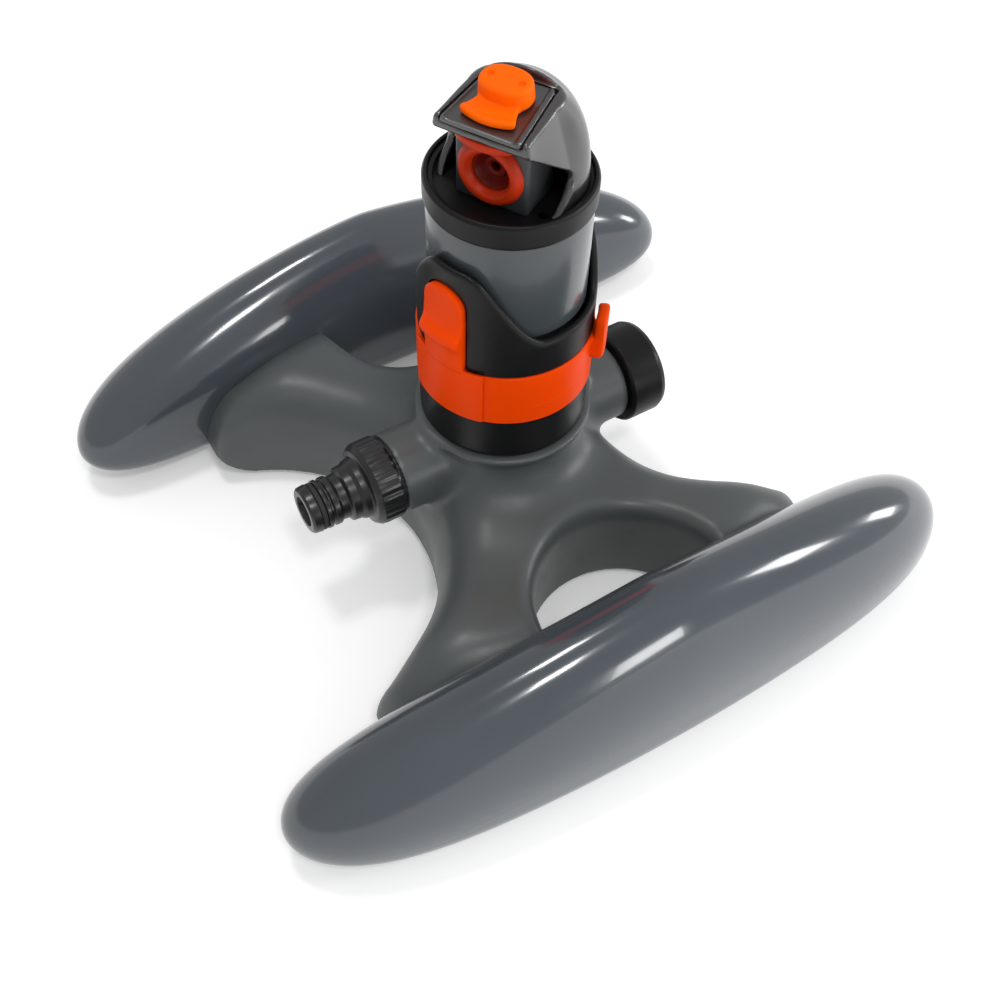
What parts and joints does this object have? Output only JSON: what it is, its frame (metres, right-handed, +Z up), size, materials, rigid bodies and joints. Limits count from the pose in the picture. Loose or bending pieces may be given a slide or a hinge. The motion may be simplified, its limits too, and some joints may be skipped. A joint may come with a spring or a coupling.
{
  "type": "lawn sprinkler",
  "caption": "Rotary lawn sprinkler: geared turret with a hooded nozzle and adjustable arc collars on a sled base with two bowed runners, a hose inlet and a capped outlet.",
  "frame": {"origin": "on the floor under the turret axis, at the middle of the sled", "axes": "X along the hose line with the inlet at -X and the capped outlet at +X, Y across the sled with the front runner at -Y, +Z up along the turret axis"},
  "size_m": [0.27, 0.2504, 0.1967],
  "materials": {
    "satin_grey": "satin moulded plastic",
    "gloss_grey": "glossy blue-grey moulded plastic",
    "turret_grey": "semi-gloss grey plastic",
    "black_plastic": "near-black satin plastic",
    "gloss_black": "near-black gloss plastic",
    "graphite_gloss": "gunmetal gloss plastic",
    "orange": "bright orange plastic",
    "red_orange": "red-orange plastic",
    "deep_orange": "darker orange plastic",
    "steel": "stainless steel",
    "white_acetal": "white acetal",
    "rubber": "black rubber"
  },
  "bodies": {
    "base": {"base_hub": "satin_grey", "front_runner_shell": "gloss_grey", "rear_runner_shell": "gloss_grey", "front_sole": "black_plastic", "rear_sole": "black_plastic", "sole_screws": "steel", "inlet_adaptor": "black_plastic", "nipple_oring": "rubber", "inlet_gasket": "rubber", "inlet_filter": "steel", "outlet_cap": "black_plastic", "cap_gasket": "rubber", "seat_ring": "black_plastic", "seat_screws": "steel", "pivot_tube": "white_acetal", "foot_oring": "rubber", "foot_screws": "steel", "retaining_clip": "steel", "sun_gear": "white_acetal"},
    "turret": {"turret_body": "turret_grey", "top_collar": "black_plastic", "turret_floor": "white_acetal", "turret_seal": "rubber", "thrust_washer": "white_acetal", "gear_plate_lower": "white_acetal", "gear_plate_upper": "white_acetal", "gear_pins": "steel", "turbine_bridge": "white_acetal", "head_base": "black_plastic", "riser_tube": "black_plastic", "riser_seal": "rubber", "hood": "graphite_gloss", "hood_screws": "steel", "visor_plate": "graphite_gloss", "nozzle_ring": "orange", "nozzle_cone": "deep_orange"},
    "arc_band": {"arc_band": "red_orange"},
    "arc_shroud": {"arc_shroud": "gloss_black", "arc_tab": "red_orange"},
    "gear_3": {"gear_3": "white_acetal"},
    "gear_2": {"gear_2": "white_acetal"},
    "gear_1": {"gear_1": "white_acetal"},
    "turbine": {"turbine": "white_acetal"},
    "trip_lever": {"trip_lever": "orange"},
    "reversing_plate": {"reversing_plate": "orange"},
    "range_slider": {"range_slider": "orange"}
  },
  "joints": [
    {"name": "turret_spin", "type": "hinge", "parent": "base", "child": "turret", "pos_m": [0, 0, 0.09], "axis": [0, 0, 1], "range_deg": [-120, 120]},
    {"name": "gear_3_spin", "type": "hinge", "parent": "turret", "child": "gear_3", "pos_m": [-0.01184, -0.00431, 0.11], "axis": [0, 0, 1], "continuous": true},
    {"name": "gear_2_spin", "type": "hinge", "parent": "turret", "child": "gear_2", "pos_m": [-0.00487, -0.01162, 0.11], "axis": [0, 0, 1], "continuous": true},
    {"name": "gear_1_spin", "type": "hinge", "parent": "turret", "child": "gear_1", "pos_m": [0.00485, -0.00886, 0.11], "axis": [0, 0, 1], "continuous": true},
    {"name": "turbine_spin", "type": "hinge", "parent": "turret", "child": "turbine", "pos_m": [0, 0, 0.12], "axis": [0, 0, 1], "continuous": true},
    {"name": "arc_band_turn", "type": "hinge", "parent": "base", "child": "arc_band", "pos_m": [0, 0, 0.09], "axis": [0, 0, 1], "range_deg": [-30, 54]},
    {"name": "arc_shroud_turn", "type": "hinge", "parent": "base", "child": "arc_shroud", "pos_m": [0, 0, 0.11], "axis": [0, 0, 1], "range_deg": [-60, 30]},
    {"name": "trip_lever_swing", "type": "hinge", "parent": "turret", "child": "trip_lever", "pos_m": [0.00092, 0.01748, 0.088], "axis": [0, 0, 1], "range_deg": [-10, 10]},
    {"name": "reversing_plate_swing", "type": "hinge", "parent": "turret", "child": "reversing_plate", "pos_m": [0, 0, 0.1228], "axis": [0, 0, 1], "range_deg": [-3, 3]},
    {"name": "range_slide", "type": "slide", "parent": "turret", "child": "range_slider", "axis": [-0.8688, -0.4875, -0.0872], "range_m": [0, 0.004]}
  ],
  "couplings": [
    {"joint": "gear_3_spin", "follows": "turret_spin", "ratio": 4},
    {"joint": "gear_2_spin", "follows": "turret_spin", "ratio": -12},
    {"joint": "gear_1_spin", "follows": "turret_spin", "ratio": 36},
    {"joint": "turbine_spin", "follows": "turret_spin", "ratio": -108},
    {"joint": "reversing_plate_swing", "follows": "trip_lever_swing", "ratio": -0.2963}
  ]
}
